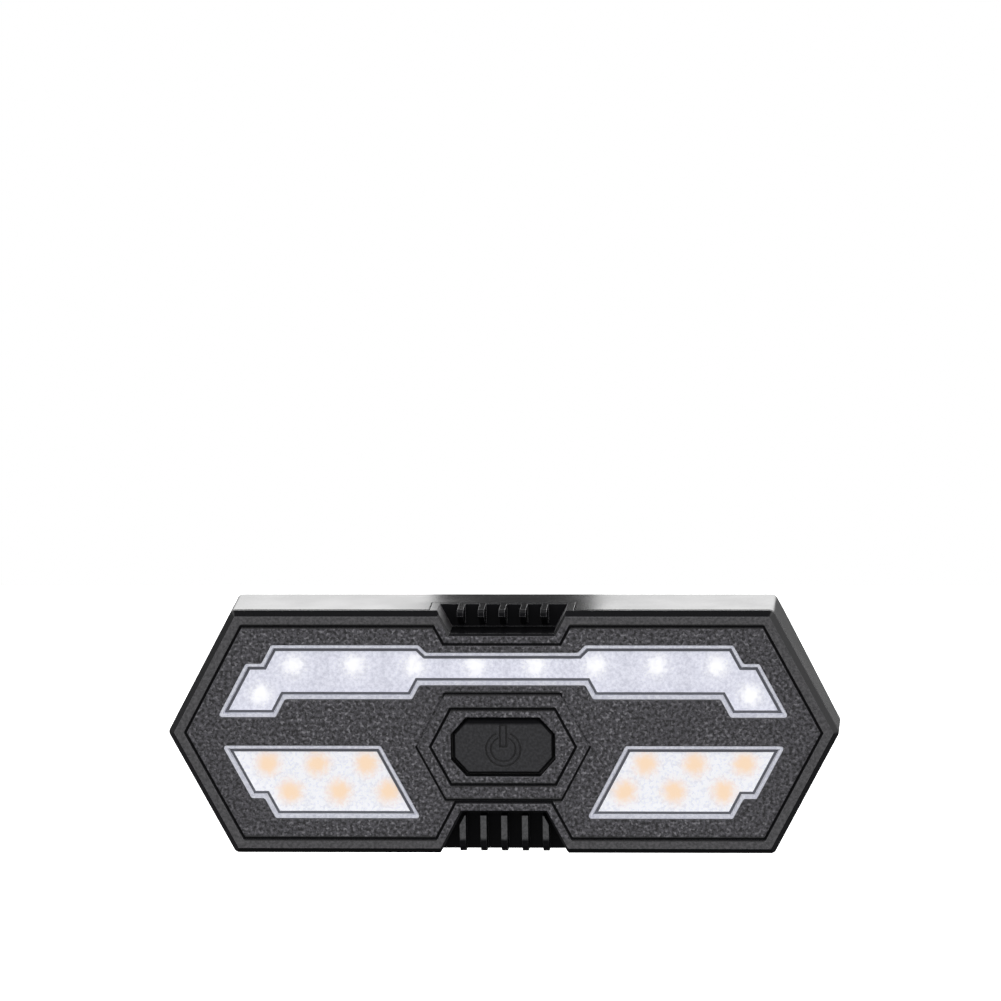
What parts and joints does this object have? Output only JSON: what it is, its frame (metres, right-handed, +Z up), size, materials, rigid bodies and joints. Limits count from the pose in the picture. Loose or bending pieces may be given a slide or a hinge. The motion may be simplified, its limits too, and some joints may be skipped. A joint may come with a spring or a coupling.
{
  "type": "bicycle tail light",
  "caption": "Wide six-sided bicycle tail light with white and amber lamps behind frosted lenses, a push button and a slide-on seat-post bracket.",
  "frame": {"origin": "on the seat post's axis, level with the tips of the six-sided light", "axes": "+X to the right as a follower sees the light, -Y towards that follower, +Z up along the seat post"},
  "size_m": [0.0998, 0.0577, 0.0368],
  "materials": {
    "textured_black": "spark-eroded grain",
    "smooth_black": "semi-gloss",
    "button_black": "fine matt",
    "frosted_lens": "frosted, lit from behind",
    "tray_white": "matt",
    "board_green": "solder mask",
    "lamp_white": "lit",
    "lamp_amber": "lit",
    "seal_rubber": "matt",
    "switch_black": "matt",
    "switch_stem_grey": "matt",
    "chip_black": "matt",
    "antenna_cream": "matt",
    "battery_foil": "satin foil",
    "foam_grey": "matt foam",
    "lead_red": "soft insulation",
    "lead_black": "soft insulation",
    "plug_cream": "satin",
    "socket_steel": "satin",
    "tongue_black": "matt",
    "cover_rubber": "matt",
    "screw_steel": "blackened",
    "bracket_black": "fine grain",
    "liner_rubber": "matt",
    "bolt_steel": "zinc plated",
    "knob_black": "fine grain"
  },
  "bodies": {
    "bracket": {"bracket_collar": "bracket_black", "collar_liner": "liner_rubber", "collar_nut": "bolt_steel"},
    "clamp_screw": {"clamp_washer": "bolt_steel", "collar_screw": "bolt_steel", "thumb_knob": "knob_black"},
    "light": {"front_cover": "textured_black", "rear_cover": "smooth_black", "cover_seal": "seal_rubber", "upper_lens": "frosted_lens", "lower_left_lens": "frosted_lens", "lower_right_lens": "frosted_lens", "light_baffle": "tray_white", "main_board": "board_green", "white_leds": "lamp_white", "amber_leds_left": "lamp_amber", "amber_leds_right": "lamp_amber", "switch_body": "switch_black", "control_chip": "chip_black", "charger_chip": "chip_black", "radio_chip": "chip_black", "radio_antenna": "antenna_cream", "battery_cell": "battery_foil", "battery_pad": "foam_grey", "battery_lead_red": "lead_red", "battery_lead_black": "lead_black", "battery_connector": "plug_cream", "usb_socket_shell": "socket_steel", "usb_socket_tongue": "tongue_black", "cover_screws": "screw_steel", "board_screws": "bolt_steel"},
    "button": {"power_button": "button_black", "switch_stem": "switch_stem_grey"},
    "socket_cover": {"usb_cover": "cover_rubber"}
  },
  "joints": [
    {"name": "light_slide", "type": "slide", "parent": "bracket", "child": "light", "axis": [0, 0, 1], "range_m": [0, 0.022]},
    {"name": "button_press", "type": "slide", "parent": "light", "child": "button", "axis": [0, 1, 0], "range_m": [0, 0.00025], "stiffness_N_per_m": 4000},
    {"name": "socket_cover_hinge", "type": "hinge", "parent": "light", "child": "socket_cover", "pos_m": [0.0197, -0.03092, -0.01795], "axis": [0, 1, 0], "range_deg": [0, 100], "stiffness_Nm_per_rad": 0.001, "springref_deg": -5.73},
    {"name": "clamp_screw_turn", "type": "hinge", "parent": "bracket", "child": "clamp_screw", "pos_m": [0.027, 0, 0], "axis": [0, 1, 0], "continuous": true}
  ]
}
